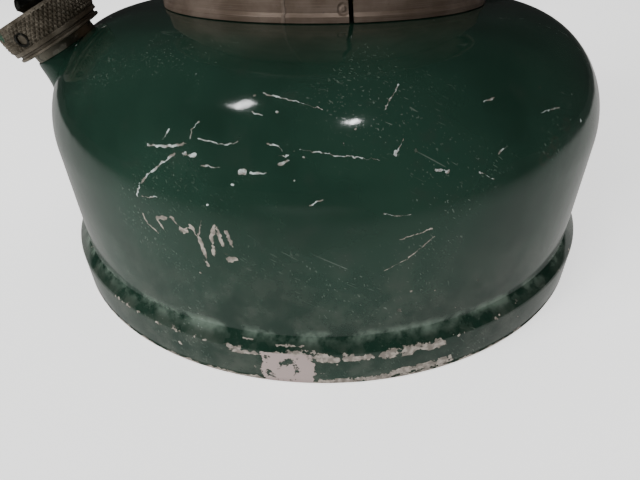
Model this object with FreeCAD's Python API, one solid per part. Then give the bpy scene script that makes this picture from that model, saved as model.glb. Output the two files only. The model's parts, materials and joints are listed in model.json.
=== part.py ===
"""Liquid-fuel pressure lantern with two mantles, as an assembly of separate pieces.

Millimetres, +Z up. The origin is on the tank's axis, on the surface the foot ring stands on. The valve
wheel faces -Y, the filler cap is on the +X side and the pump is at the front left.
"""
import FreeCAD
import Part
import math
import os

V = FreeCAD.Vector

# Tank: one drawn shell with a foot ring, straight wall, round shoulder and low crown.
wall_radius = 83.2
foot_flare = 2.8
foot_height = 10.0
hem_width = 2.6
hem_height = 2.5
tank_sheet = 1.0
shoulder_z = 42.0
shoulder_radius = 30.0
shoulder_sweep = 85.0
crown_flat_radius = 20.0
bottom_z = 12.5
bottom_flange = 6.0
bottom_sag = 1.8

# Filler neck and its three-piece cap. The seat is an angle round the shoulder's arc, up from the wall.
filler_azimuth = 17.0
filler_tilt = 27.0
filler_seat = 44.8
neck_radius = 9.0
neck_bore = 7.2
neck_height = 7.0
cap_radius = 13.0
cap_height = 9.0
cap_gap = 3.2
cap_vent_radius = 1.5
cap_screw_head = 4.3
cap_thread_pitch = 1.5
gasket_thickness = 1.1

# Hand pump, square to the shoulder at the front left.
pump_azimuth = 220.0
pump_slope = 38.0
barrel_radius = 11.5
barrel_sheet = 0.8
barrel_floor_gap = 11.03
barrel_stand = 4.0
rod_radius = 3.2
rod_bore = 1.75
air_stem_radius = 1.4
knob_radius = 11.0
knob_length = 12.0

# Valve, on the tank's axis, with its wheel in front of the collar.
bushing_radius = 12.0
bushing_flange = 17.0
valve_thread = 8.0
valve_round = 9.0
valve_bore = 2.8
frame_thread = 7.5
stem_rise = 15.98
stem_radius = 2.2
wheel_radius = 19.0
wheel_thickness = 9.0
wheel_gap = 10.0
wheel_lobes = 8
cleaner_rise = 12.0
cleaner_azimuth = -35.0
cleaner_throw = 1.5
cleaner_reach = 20.0

# Collar, frame plate and guard wires.
collar_radius = 47.0
collar_sheet = 0.8
collar_top = 116.0
collar_seam = 1.1
plate_sheet = 1.0
plate_radius = 62.0
guard_wire = 1.75
guard_reach = 56.5
guard_half_span = 13.0
guard_bar_drop = 13.2

# Burner, generator and glass.
generator_radius = 3.6
generator_bore = 2.0
jet_drop = 15.0
intake_radius = 7.5
intake_sheet = 0.8
intake_offset = 25.0
intake_bend = 12.0
burner_spacing = 27.0
manifold_drop = 1.2
mantle_radius = 19.0
mantle_length = 54.0
globe_radius = 54.0
globe_end_radius = 50.5
globe_glass = 2.6
globe_height = 120.0

# Ventilator and carrying bail.
skirt_radius = 66.5
skirt_rise = 4.8
hood_sheet = 0.9
hat_radius = 55.0
hood_height = 50.0
ball_radius = 8.5
stud_radius = 2.95
bail_wire = 1.9
bail_half_width = 70.5
bail_reach = 110.0
bail_pivot_rise = 10.0
bail_rest = 31.5

# Clearances: parts that only sit together, and shafts that run in holes.
seat = 0.1
run = 0.06

os.makedirs("parts", exist_ok=True)


def outline(start, *steps):
    """A closed face in the XZ plane. A step is a point, or a pair (point on the arc, arc's end)."""
    edges = []
    here = V(start[0], 0, start[1])
    first = here
    for step in steps:
        if isinstance(step[0], tuple):
            middle = V(step[0][0], 0, step[0][1])
            there = V(step[1][0], 0, step[1][1])
            edges.append(Part.Arc(here, middle, there).toShape())
        else:
            there = V(step[0], 0, step[1])
            edges.append(Part.makeLine(here, there))
        here = there
    if here.sub(first).Length > 1e-6:
        edges.append(Part.makeLine(here, first))
    return Part.Face(Part.Wire(edges))


def turned(start, *steps):
    """A solid turned about Z from an outline of (radius, height) points."""
    return outline(start, *steps).revolve(V(0, 0, 0), V(0, 0, 1), 360)


def tube(outer, inner, low, high):
    return turned((inner, low), (outer, low), (outer, high), (inner, high))


def rod(radius, low, high):
    return Part.makeCylinder(radius, high - low, V(0, 0, low))


def hexagon(across_flats, low, high, bore=0.0):
    """A hexagonal nut or bar along Z with chamfered corners."""
    corner = across_flats / math.sqrt(3)
    points = [V(corner * math.cos(a), corner * math.sin(a), low)
              for a in (math.radians(30 + 60 * i) for i in range(7))]
    prism = Part.Face(Part.makePolygon(points)).extrude(V(0, 0, high - low))
    chamfer = 0.6 * (corner - across_flats / 2) + 0.2
    waist = turned((0, low), (corner - chamfer, low), (corner, low + chamfer),
                   (corner, high - chamfer), (corner - chamfer, high), (0, high))
    nut = prism.common(waist)
    if bore:
        nut = nut.cut(rod(bore, low - 1, high + 1))
    return nut


def placed(shape, base, azimuth, tilt):
    """Takes a shape built along Z to an axis through base that leans by tilt towards azimuth."""
    moved = shape.copy()
    turn = FreeCAD.Rotation(V(0, 0, 1), azimuth).multiply(FreeCAD.Rotation(V(0, 1, 0), tilt))
    moved.Placement = FreeCAD.Placement(V(*base), turn)
    return moved


def ring_of(shape, count, start=0.0):
    """Copies of a shape turned about Z, as a list."""
    copies = []
    for i in range(count):
        copy = shape.copy()
        copy.rotate(V(0, 0, 0), V(0, 0, 1), start + 360.0 * i / count)
        copies.append(copy)
    return copies


def save(name, *shapes):
    """Writes a node as one STEP file, from one shape or from several separate solids."""
    solids = [s for shape in shapes for s in shape.Solids]
    for s in solids:
        if not s.isValid() or s.Volume <= 0:
            raise ValueError("node %s holds a bad solid" % name)
    whole = solids[0] if len(solids) == 1 else Part.makeCompound(solids)
    whole.exportStep("parts/%s.step" % name)


# Places that several pieces share.
foot_radius = wall_radius + foot_flare
shoulder_centre = wall_radius - shoulder_radius
sweep = math.radians(shoulder_sweep)
crown_start = (shoulder_centre + shoulder_radius * math.cos(sweep),
               shoulder_z + shoulder_radius * math.sin(sweep))
crown_slope = math.tan(math.radians(90 - shoulder_sweep))


def crown_height(radius):
    """Height of the tank's outer face at a radius, on the crown or the shoulder."""
    if radius > crown_start[0]:
        return shoulder_z + math.sqrt(shoulder_radius ** 2 - (radius - shoulder_centre) ** 2)
    return crown_start[1] + (crown_start[0] - max(radius, crown_flat_radius)) * crown_slope


crown_top = crown_height(0)
filler_lean = math.radians(filler_seat)
filler_reach = shoulder_centre + shoulder_radius * math.cos(filler_lean)
filler_turn = math.radians(filler_azimuth)
filler_base = (filler_reach * math.cos(filler_turn), filler_reach * math.sin(filler_turn),
               shoulder_z + shoulder_radius * math.sin(filler_lean))
pump_lean = math.radians(pump_slope)
pump_reach = shoulder_centre + shoulder_radius * math.cos(pump_lean)
pump_turn = math.radians(pump_azimuth)
pump_base = (pump_reach * math.cos(pump_turn), pump_reach * math.sin(pump_turn),
             shoulder_z + shoulder_radius * math.sin(pump_lean))
collar_bottom = crown_height(collar_radius - collar_sheet) + seat
plate_top = collar_top + seat + plate_sheet
valve_top = plate_top + 11.0
frame_nut_top = plate_top + 4.5
shield_top = frame_nut_top + seat + 0.6
globe_bottom = plate_top + seat
globe_top = globe_bottom + globe_height
guard_bar_z = globe_top - guard_bar_drop
bail_pivot_z = guard_bar_z + bail_pivot_rise
manifold_z = globe_top - manifold_drop
jet_top = manifold_z - jet_drop
burner_cap_low = manifold_z - 30.0
mantle_bottom = burner_cap_low - mantle_length
skirt_bottom = globe_top + skirt_rise
hat_top = skirt_bottom + hood_height
stem_z = crown_top + stem_rise
cleaner_z = stem_z + cleaner_rise
barrel_depth = (pump_base[2] - bottom_z - barrel_floor_gap) / math.sin(pump_lean)
wheel_back = collar_radius + wheel_gap
stem_end = wheel_back + 0.6 * wheel_thickness


def on_filler(shape):
    return placed(shape, filler_base, filler_azimuth, filler_tilt)


def on_pump(shape):
    return placed(shape, pump_base, pump_azimuth, 90 - pump_slope)


def to_front(shape):
    """Takes a shape built along Z to the valve stem's axis, pointing at -Y."""
    return placed(shape, (0, 0, stem_z), -90, 90)


def to_cleaner(shape):
    return placed(shape, (0, 0, cleaner_z), cleaner_azimuth, 90)


# --- Tank ---------------------------------------------------------------------------------------

def tank_shell():
    half = sweep / 2
    inner = shoulder_radius - tank_sheet

    def on_shoulder(radius, angle):
        return (shoulder_centre + radius * math.cos(angle), shoulder_z + radius * math.sin(angle))

    step = foot_flare
    lap = tank_sheet * (math.sqrt(2) - 1)
    shell = turned(
        (foot_radius, 0), (foot_radius, foot_height), (wall_radius, foot_height + step),
        (wall_radius, shoulder_z),
        (on_shoulder(shoulder_radius, half), on_shoulder(shoulder_radius, sweep)),
        (crown_flat_radius, crown_top), (bushing_radius + seat, crown_top),
        (bushing_radius + seat, crown_top - tank_sheet), (crown_flat_radius, crown_top - tank_sheet),
        on_shoulder(inner, sweep),
        (on_shoulder(inner, half), on_shoulder(inner, 0)),
        (wall_radius - tank_sheet, foot_height + step - lap),
        (foot_radius - tank_sheet, foot_height - lap),
        (foot_radius - tank_sheet, hem_height), (foot_radius - hem_width, hem_height),
        (foot_radius - hem_width, 0))
    filler_boss = turned((0, -5.5), (neck_radius + 6.5, -5.5), (neck_radius + 1.6, 0.8), (0, 0.8))
    pump_boss = turned((0, -5.0), (barrel_radius + 6.0, -5.0), (barrel_radius + 1.4, 0.6), (0, 0.6))
    inside = turned(
        (0, bottom_z), (wall_radius - tank_sheet, bottom_z), (wall_radius - tank_sheet, shoulder_z),
        (on_shoulder(inner, half), on_shoulder(inner, sweep)),
        (crown_flat_radius, crown_top - tank_sheet), (0, crown_top - tank_sheet))
    for boss, place in ((filler_boss, on_filler), (pump_boss, on_pump)):
        shell = shell.fuse(place(boss).cut(inside))
    shell = shell.cut(on_filler(rod(neck_radius, -20, 20)))
    return shell.cut(on_pump(rod(barrel_radius, -25, 20)))


def tank_bottom():
    """Dished disc with an upturned flange, brazed inside the wall."""
    outer = wall_radius - tank_sheet
    flat = 12.0
    middle = (outer + flat) / 2
    drop = bottom_sag * 0.75
    low = bottom_z
    return turned(
        (outer, low + 1.5), (outer, low + bottom_flange), (outer - tank_sheet, low + bottom_flange),
        (outer - tank_sheet, low + tank_sheet),
        ((middle, low + tank_sheet - drop), (flat, low + tank_sheet - bottom_sag)),
        (0, low + tank_sheet - bottom_sag), (0, low - bottom_sag), (flat, low - bottom_sag),
        ((middle, low - drop), (outer - 1.5, low)))


def filler_neck():
    lip = neck_radius - 0.8
    return on_filler(turned(
        (neck_bore, -7), (neck_radius, -7), (neck_radius, neck_height - 0.8), (lip, neck_height),
        (neck_bore, neck_height)))


gasket_low = neck_height + 0.05
gasket_high = gasket_low + gasket_thickness
cap_top = cap_gap + cap_height


def cap_gasket():
    return on_filler(tube(neck_radius - 0.2, neck_bore - 1.2, gasket_low, gasket_high))


def cap_insert():
    """Threaded disc that holds the gasket against the neck's lip."""
    low = gasket_high
    stub = turned((0, low - 2.4), (neck_bore - 1.3, low - 2.4), (neck_bore - 1.3, low),
                  (neck_radius - 0.2, low), (neck_radius - 0.2, low + 0.9), (0, low + 0.9))
    return on_filler(stub.cut(rod(1.9, low - 1.6, low + 2)))


def cap_shell():
    edge = 1.2
    room = neck_radius + 0.35
    ceiling = gasket_high + 0.9 + run
    shell = turned(
        (room, cap_gap), (cap_radius - 0.7, cap_gap), (cap_radius, cap_gap + 0.7),
        (cap_radius, cap_top - edge - 0.6), (cap_radius - 0.5, cap_top - edge),
        (cap_radius - edge - 0.5, cap_top), (2.0, cap_top), (2.0, ceiling), (room, ceiling))
    vent = Part.makeCylinder(cap_vent_radius, cap_radius - neck_radius + 3,
                             V(neck_radius - 1, 0, cap_gap + 0.52 * cap_height), V(1, 0, 0))
    vent.rotate(V(0, 0, 0), V(0, 0, 1), 112)
    return on_filler(shell.cut(vent))


def cap_screw():
    """Slotted round-head screw through the cap into the insert."""
    head = turned((0, cap_top), (cap_screw_head * 0.78, cap_top), (cap_screw_head, cap_top + 1.3),
                  ((cap_screw_head * 0.72, cap_top + 3.4), (0.6, cap_top + 4.2)), (0, cap_top + 4.2))
    slot = Part.makeBox(2 * cap_screw_head + 2, 1.1, 2.0, V(-cap_screw_head - 1, -0.55, cap_top + 2.6))
    shank = rod(1.85, gasket_high - 1.5, cap_top)
    return on_filler(head.cut(slot).fuse(shank).removeSplitter())


# --- Pump ---------------------------------------------------------------------------------------

barrel_bore = barrel_radius - barrel_sheet
barrel_end = -barrel_depth
piston_low = barrel_end + 3.2
piston_high = piston_low + 6.0
pump_cap_low = 1.0
pump_cap_high = barrel_stand + 3.4
knob_low = pump_cap_high + 1.6


def pump_barrel():
    return on_pump(turned(
        (4.2, barrel_end), (barrel_radius, barrel_end), (barrel_radius, barrel_stand),
        (barrel_bore, barrel_stand), (barrel_bore, barrel_end + 2), (4.2, barrel_end + 2)))


def check_valve_body():
    """Brass end fitting of the barrel, with the air stem's bore and the ball's chamber."""
    face = barrel_end - 0.05
    bore = air_stem_radius + run
    return on_pump(turned(
        (0.8, face - 9), (4.2, face - 9), (5.0, face - 8.2), (5.0, face - 3.5), (6.5, face - 3.5),
        (6.5, face), (4.2, face), (4.2, barrel_end + 2), (bore, barrel_end + 2), (bore, face - 5.5),
        (1.9, face - 5.5), (1.9, face - 8.4), (0.8, face - 8.4)))


def check_ball():
    return on_pump(Part.makeSphere(1.1, V(0, 0, barrel_end - 6.75)))


def air_stem():
    """Stem turned by the plunger rod, with two flats where the rod grips it."""
    low = barrel_end - 5.3
    r = air_stem_radius
    stem = turned((0, low), (r, low + 1.2), (r, -20.6), (r - 0.4, -20), (0, -20))
    flats = [Part.makeBox(4, 1, 26, V(-2, y, -46)) for y in (0.7 * r, -0.7 * r - 1)]
    return on_pump(stem.cut(flats[0]).cut(flats[1]))


def pump_cup():
    """Leather cup, open towards the tank, that seals against the barrel."""
    lip = barrel_bore - run
    return on_pump(turned(
        (rod_radius, piston_low + 2.6), (lip - 1.6, piston_low + 2.6), (lip - 1.6, piston_low),
        (lip, piston_low), (lip, piston_low + 3.4), (lip - 1.2, piston_low + 4.4),
        (rod_radius, piston_low + 4.4)))


def cup_washer():
    return on_pump(tube(lip_radius(), rod_radius, piston_high - 1.6, piston_high - 0.6))


def lip_radius():
    return barrel_bore - 1.6


def cup_nut():
    return on_pump(tube(rod_radius + 2.6, rod_radius, piston_low + 0.6, piston_low + 2.6))


def plunger_rod():
    return on_pump(tube(rod_radius - run, rod_bore, piston_low, knob_low + 7))


def pump_knob():
    """Thumb knob with a waist, a dished face and the thumb hole in its middle."""
    top = knob_low + knob_length
    hub = 6.5
    knob = turned(
        (rod_radius - run, knob_low), (hub, knob_low), (hub, knob_low + 2.6),
        (knob_radius - 1.4, knob_low + 4.2), (knob_radius, knob_low + 5.6), (knob_radius, top - 1.6),
        (knob_radius - 1.4, top), (7.4, top), (5.0, top - 1.4), (rod_bore, top - 1.8),
        (rod_bore, knob_low + 7), (rod_radius - run, knob_low + 7))
    groove = rod(1.5, knob_low + 3, top + 1)
    groove.translate(V(knob_radius + 0.7, 0, 0))
    for cut in ring_of(groove, 10):
        knob = knob.cut(cut)
    return on_pump(knob)


def pump_cap():
    """Screwed cap that keeps the plunger in the barrel."""
    cap = turned(
        (barrel_radius, pump_cap_low), (barrel_radius + 1.6, pump_cap_low),
        (barrel_radius + 1.6, pump_cap_high - 0.8), (barrel_radius + 0.8, pump_cap_high),
        (rod_radius + 0.25, pump_cap_high), (rod_radius + 0.25, barrel_stand), (barrel_radius, barrel_stand))
    for spot in ring_of(Part.makeCylinder(1.3, 8, V(8, 0, barrel_stand - 1)), 2, 90):
        cap = cap.cut(spot)
    return on_pump(cap)


# --- Valve --------------------------------------------------------------------------------------

bushing_high = crown_top + 2.6
arm_radius = 6.5
arm_end = 24.0
cleaner_arm_end = 17.0
cleaner_shaft_radius = 1.6
eccentric_radius = cleaner_throw + 0.75


def centre_bushing():
    return turned(
        (valve_thread, crown_top - 12), (bushing_radius, crown_top - 12),
        (bushing_radius, crown_top + seat), (bushing_flange, crown_top + seat),
        (bushing_flange, bushing_high - 0.8),
        (bushing_flange - 0.8, bushing_high), (valve_thread, bushing_high))


def valve_body():
    low = crown_top - 14
    high = bushing_high + seat
    socket = generator_radius + 0.2
    body = turned(
        (4.1, low), (valve_thread, low), (valve_thread, high), (valve_round, high),
        (valve_round, collar_top - 5), (frame_thread, collar_top - 5), (frame_thread, valve_top),
        (socket, valve_top), (socket, valve_top - 10), (valve_bore, valve_top - 10), (valve_bore, low + 6),
        (4.1, low + 6))
    collar_nut = hexagon(21, high, high + 5, valve_bore)
    arm = to_front(rod(arm_radius, valve_bore + 1.2, arm_end))
    small_arm = to_cleaner(rod(4.2, valve_bore + 1.2, cleaner_arm_end))
    body = body.fuse([collar_nut, arm, small_arm])
    body = body.cut(to_front(rod(stem_radius + run, 0, arm_end + 1)))
    body = body.cut(to_cleaner(rod(cleaner_shaft_radius + run, 0, cleaner_arm_end + 1)))
    return body.cut(to_cleaner(rod(eccentric_radius + 0.3, 0, valve_bore + 0.6))).removeSplitter()


def packing_nut():
    nut = hexagon(13, arm_end + 0.05, arm_end + 8, stem_radius + run)
    return to_front(nut)


def valve_stem():
    tip = valve_bore + 0.4
    return to_front(turned((0, tip), (stem_radius, tip + 3), (stem_radius, stem_end), (0, stem_end)))


def valve_wheel():
    """Moulded wheel with finger lobes and a metal screw in its dished face."""
    low = wheel_back
    high = low + wheel_thickness
    wheel = turned(
        (stem_radius, low - 3), (6.0, low - 3), (6.5, low), (wheel_radius - 1.5, low),
        (wheel_radius, low + 1.5), (wheel_radius, high - 1.5), (wheel_radius - 1.5, high),
        (wheel_radius - 4.5, high), (wheel_radius - 6.0, high - 1.6), (2.0, high - 1.6),
        (2.0, stem_end), (stem_radius, stem_end))
    scallop = rod(3.4, low - 1, high + 1)
    scallop.translate(V(wheel_radius + 2.0, 0, 0))
    for cut in ring_of(scallop, wheel_lobes, 22.5):
        wheel = wheel.cut(cut)
    return to_front(wheel)


def wheel_screw():
    face = wheel_back + wheel_thickness - 1.6
    shank = rod(1.95, stem_end + 0.05, face)
    head = turned((0, face), (4.0, face), (4.0, face + 0.7), ((2.9, face + 1.8), (0, face + 2.3)))
    slot = Part.makeBox(10, 0.9, 2, V(-5, -0.45, face + 1.2))
    return to_front(head.cut(slot).fuse(shank).removeSplitter())


def cleaner_lever():
    """Shaft with an eccentric pin inside the valve and a finger lever outside the frame."""
    out = plate_radius + 4.0
    shaft = rod(cleaner_shaft_radius, valve_bore + 0.2, out + 1.5)
    disc = rod(eccentric_radius, 1.1, valve_bore + 0.2)
    pin = Part.makeCylinder(0.7, 2.4, V(cleaner_throw, 0, -1.2))
    lever = Part.makeCylinder(1.5, cleaner_reach, V(0, 0, out), V(0, 1, 0))
    knuckle = Part.makeSphere(2.6, V(0, 0, out))
    tip = Part.makeSphere(2.9, V(0, cleaner_reach, out))
    return to_cleaner(shaft.fuse([disc, pin, lever, knuckle, tip]).removeSplitter())


def cleaner_packing_nut():
    return to_cleaner(hexagon(9, cleaner_arm_end + 0.05, cleaner_arm_end + 5.5, cleaner_shaft_radius + run))


def pickup_tube():
    return tube(4.1, 1.8, bottom_z + 5, crown_top - 8)


def pickup_rod():
    return rod(1.0, bottom_z + 6, stem_z - 4.5)


# --- Collar, frame and guard --------------------------------------------------------------------

def collar():
    """Sprung sheet band with a rolled lower edge and a wandering open seam at the back."""
    outer = collar_radius
    inner = outer - collar_sheet
    bead = 0.55
    low = collar_bottom
    band = turned(
        (inner, low), (outer + bead, low), (outer + bead, low + 1.2), (outer, low + 2.0),
        (outer, collar_top - 1.6), (outer + bead, collar_top - 1.0), (outer + bead, collar_top),
        (inner, collar_top))
    wander = (0.0, 0.5, -0.35, 0.4, 0.0, 0.45, 0.0)
    height = (collar_top - low + 2) / (len(wander) - 1)
    middle = -6.0
    left = [V(middle + w - collar_seam / 2, outer - 6, low - 1 + height * i) for i, w in enumerate(wander)]
    right = [p + V(collar_seam, 0, 0) for p in reversed(left)]
    seam = Part.Face(Part.makePolygon(left + right + left[:1])).extrude(V(0, 12, 0))
    stem_hole = to_front(rod(stem_radius + 4.3, outer - 6, outer + 6))
    lever_hole = to_cleaner(rod(cleaner_shaft_radius + 1.6, outer - 6, outer + 6))
    return band.cut(seam).cut(stem_hole).cut(lever_hole)


def frame_plate():
    """Pressed plate on the collar: globe seat, locating flange, turned-down rim and air holes."""
    low = collar_top + seat
    flange = collar_radius - collar_sheet - 0.3
    sheet = plate_sheet
    plate = turned(
        (7.8, low), (flange - sheet, low), (flange - sheet, low - 8), (flange, low - 8), (flange, low),
        (plate_radius - sheet, low), (plate_radius - sheet, low - 5), (plate_radius, low - 5),
        (plate_radius, plate_top - 0.6), (plate_radius - 0.6, plate_top),
        (globe_end_radius + 3.2, plate_top),
        ((globe_end_radius + 2.4, plate_top + 1.2), (globe_end_radius + 1.6, plate_top)),
        (7.8, plate_top))
    air_hole = rod(3.6, low - 2, plate_top + 2)
    air_hole.translate(V(39.5, 0, 0))
    for cut in ring_of(air_hole, 12, 15):
        plate = plate.cut(cut)
    intake_hole = rod(intake_radius, low - 2, plate_top + 2)
    intake_hole.translate(V(0, intake_offset, 0))
    plate = plate.cut(intake_hole)
    for x in (-guard_reach, guard_reach):
        for y in (-guard_half_span, guard_half_span):
            foot = rod(guard_wire, low - 3, plate_top + 2)
            foot.translate(V(x, y, 0))
            plate = plate.cut(foot)
    return plate


def frame_nut():
    return hexagon(21, plate_top, frame_nut_top, frame_thread + run)


def heat_shield():
    low = frame_nut_top + seat
    shield = turned(
        (7.8, low), (14, low), (16, low + 2.0), (34, low + 2.0), (36, low + 0.8), (43, low + 0.8),
        (43, low + 1.4), (36.3, low + 1.4), (34.3, low + 2.6), (15.7, low + 2.6), (13.7, low + 0.6),
        (7.8, low + 0.6))
    notch = rod(intake_radius + 0.3, low - 1, low + 4)
    notch.translate(V(0, intake_offset, 0))
    return shield.cut(notch)


def guard_loop(side):
    """Wire loop beside the glass: two legs through the plate and a bar with round corners."""
    low = collar_top - 4
    bend = 7.0
    x = side * guard_reach
    half = guard_half_span
    turn = bend * (1 - math.sqrt(0.5))
    path = Part.Wire([
        Part.makeLine(V(x, -half, low), V(x, -half, guard_bar_z - bend)),
        Part.Arc(V(x, -half, guard_bar_z - bend), V(x, -half + turn, guard_bar_z - turn),
                 V(x, -half + bend, guard_bar_z)).toShape(),
        Part.makeLine(V(x, -half + bend, guard_bar_z), V(x, half - bend, guard_bar_z)),
        Part.Arc(V(x, half - bend, guard_bar_z), V(x, half - turn, guard_bar_z - turn),
                 V(x, half, guard_bar_z - bend)).toShape(),
        Part.makeLine(V(x, half, guard_bar_z - bend), V(x, half, low))])
    section = Part.Wire(Part.makeCircle(guard_wire, V(x, -half, low), V(0, 0, 1)))
    return path.makePipeShell([section], True, False)


ear_sheet = 2.0
ear_inner = guard_reach + guard_wire - 0.8


def bail_ear(side):
    """Tab welded to the outside of a guard loop's bar, with the bail's pivot hole."""
    half = 5.5
    low = guard_bar_z - 3
    hole = bail_wire + run
    tab = Part.makeBox(ear_sheet, 2 * half, bail_pivot_z - low, V(ear_inner, -half, low))
    eye = Part.makeCylinder(half, ear_sheet, V(ear_inner, 0, bail_pivot_z), V(1, 0, 0))
    bore = Part.makeCylinder(hole, ear_sheet + 4, V(ear_inner - 2, 0, bail_pivot_z), V(1, 0, 0))
    bar = Part.makeCylinder(guard_wire, 4 * half, V(guard_reach, -2 * half, guard_bar_z), V(0, 1, 0))
    ear = tab.fuse(eye).cut(bore).cut(bar).removeSplitter()
    if side < 0:
        ear.rotate(V(0, 0, 0), V(0, 0, 1), 180)
    return ear


def bail():
    """Wire handle, hanging at the back: hooked ends, straight sides and a half-round top."""
    bend = 6.0
    side = bail_half_width
    end = ear_inner - 0.4
    rise = bail_reach - side
    turn = bend * (1 - math.sqrt(0.5))
    parts = []
    for s in (-1, 1):
        parts.append([
            Part.makeLine(V(s * end, 0, 0), V(s * (side - bend), 0, 0)),
            Part.Arc(V(s * (side - bend), 0, 0), V(s * (side - turn), 0, turn),
                     V(s * side, 0, bend)).toShape(),
            Part.makeLine(V(s * side, 0, bend), V(s * side, 0, rise))])
    top = Part.Arc(V(-side, 0, rise), V(0, 0, bail_reach), V(side, 0, rise)).toShape()
    path = Part.Wire(parts[0] + [top] + parts[1][::-1])
    section = Part.Wire(Part.makeCircle(bail_wire, V(-end, 0, 0), V(1, 0, 0)))
    wire = path.makePipeShell([section], True, False)
    for s in (-1, 1):
        button = Part.makeCylinder(bail_wire + 0.9, 1.2, V(s * end, 0, 0), V(-s, 0, 0))
        wire = wire.fuse(button)
    wire = wire.removeSplitter()
    wire.rotate(V(0, 0, 0), V(1, 0, 0), -(180 - bail_rest))
    wire.translate(V(0, 0, bail_pivot_z))
    return wire


# --- Burner -------------------------------------------------------------------------------------

jet_low = jet_top - 7.0
flange_low = valve_top + 0.05
nozzle_low = manifold_z - 20.0


def generator_tube():
    return turned(
        (generator_bore, valve_top - 9), (generator_radius, valve_top - 9), (generator_radius, flange_low),
        (6.4, flange_low), (6.4, flange_low + 1), (generator_radius, flange_low + 1),
        (generator_radius, jet_low), (generator_bore, jet_low))


def generator_nut():
    low = shield_top + seat
    cavity = flange_low + 1 + 0.05
    nut = hexagon(19, low, cavity + 3)
    return nut.cut(rod(frame_thread + run, low - 1, cavity)).cut(rod(generator_radius + run, low, cavity + 4))


def generator_jet():
    return turned(
        (0.7, jet_low - 4), (generator_bore - 0.02, jet_low - 4), (generator_bore - 0.02, jet_low),
        (4.2, jet_low), (4.2, jet_low + 3.4), (2.6, jet_low + 4.4), (1.6, jet_top), (0.5, jet_top),
        (0.5, jet_top - 2), (0.7, jet_top - 2))


def cleaning_rod():
    low = cleaner_z - cleaner_throw + 1.1
    return turned((0, low), (0.9, low), (0.9, jet_low - 8), (0.35, jet_low - 6), (0.35, jet_top - 4),
                  (0, jet_top - 4))


def intake_tube():
    """Air tube from under the plate, up beside the generator and over into the manifold."""
    bend = intake_bend
    y = intake_offset
    low = collar_top - 6
    turn = bend * (1 - math.sqrt(0.5))
    wall = [Part.makeLine(V(0, y, low), V(0, y, manifold_z - bend)),
            Part.Arc(V(0, y, manifold_z - bend), V(0, y - turn, manifold_z - turn),
                     V(0, y - bend, manifold_z)).toShape(),
            Part.makeLine(V(0, y - bend, manifold_z), V(0, 9.6, manifold_z))]
    path = Part.Wire(wall)
    shapes = []
    for radius in (intake_radius, intake_radius - intake_sheet):
        section = Part.Wire(Part.makeCircle(radius, V(0, y, low), V(0, 0, 1)))
        shapes.append(path.makePipeShell([section], True, False))
    return shapes[0].cut(shapes[1])


def manifold():
    """Cast burner body: mixing hub, two arms and two nozzles that point down."""
    hub = rod(11, manifold_z - 12, manifold_z + 10)
    arms = [Part.makeCylinder(7, 2 * burner_spacing, V(-burner_spacing, 0, manifold_z), V(1, 0, 0))]
    inlet_length = intake_offset - intake_bend
    inlet = Part.makeCylinder(intake_radius + 1.5, inlet_length, V(0, 0, manifold_z), V(0, 1, 0))
    nozzles = []
    bores = [rod(5.0, manifold_z - 13, manifold_z + 3),
             Part.makeCylinder(4.6, 2 * burner_spacing, V(-burner_spacing, 0, manifold_z), V(1, 0, 0)),
             Part.makeCylinder(intake_radius, 6, V(0, 9.6, manifold_z), V(0, 1, 0)),
             Part.makeCylinder(intake_radius - intake_sheet, 12, V(0, 0, manifold_z), V(0, 1, 0))]
    for s in (-1, 1):
        nozzle = rod(8, nozzle_low, manifold_z + 7.5)
        dome = Part.makeSphere(8, V(0, 0, manifold_z + 0))
        bore = rod(5.5, nozzle_low - 1, manifold_z + 3)
        for shape in (nozzle, dome, bore):
            shape.translate(V(s * burner_spacing, 0, 0))
        nozzles += [nozzle, dome]
        bores.append(bore)
    body = hub.fuse(arms + [inlet] + nozzles)
    stud_hole = rod(stud_radius + 0.05, manifold_z + 5, manifold_z + 12)
    return body.cut(Part.makeCompound(bores)).cut(stud_hole).removeSplitter()


def burner_cap(side):
    """Ceramic cap on a nozzle, with the groove that the mantle is tied in."""
    low = burner_cap_low
    cap = turned(
        (6.2, low), (9.4, low), (9.4, low + 1.6), (8.4, low + 2.2), (8.4, low + 4.6), (9.6, low + 5.4),
        (11, low + 7), (11, low + 12), (10.2, low + 12.8), (8 + seat, low + 12.8), (8 + seat, low + 9.6),
        (6.2, low + 9.6))
    cap.translate(V(side * burner_spacing, 0, 0))
    return cap


def burner_screen(side):
    screen = rod(6.0, burner_cap_low + 6, burner_cap_low + 6.6)
    hole = rod(0.55, burner_cap_low + 5, burner_cap_low + 8)
    cuts = []
    for count, radius in ((6, 2.2), (12, 4.2)):
        spot = hole.copy()
        spot.translate(V(radius, 0, 0))
        cuts += ring_of(spot, count)
    screen = screen.cut(Part.makeCompound(cuts))
    screen.translate(V(side * burner_spacing, 0, 0))
    return screen


def mantle(side):
    """Ash-cloth sock, open at the neck where it is tied round the burner cap."""
    cloth = 0.5
    low = mantle_bottom
    widest = low + 25
    neck = 8.4 + 0.1
    rim = burner_cap_low + 4.4
    shoulder = burner_cap_low - 2
    full = mantle_radius
    flat = 2.0
    sock = turned(
        (0, low), (flat, low), ((full * 0.72, low + 6.4), (full, widest)), ((full * 0.86, low + 41), (9.9, shoulder)),
        (9.9, shoulder + 3.8), (neck + cloth, burner_cap_low + 2.6), (neck + cloth, rim), (neck, rim),
        (neck, burner_cap_low + 2.3), (9.5, burner_cap_low + 1.6), (9.5, shoulder),
        ((full * 0.86 - cloth, low + 41), (full - cloth, widest)),
        ((full * 0.72 - cloth, low + 7.0), (flat, low + cloth)), (0, low + cloth))
    sock.translate(V(side * burner_spacing, 0, 0))
    return sock


def mantle_tie(side):
    tie = Part.makeTorus(9.55, 0.5, V(side * burner_spacing, 0, burner_cap_low + 3.6))
    return tie


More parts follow.
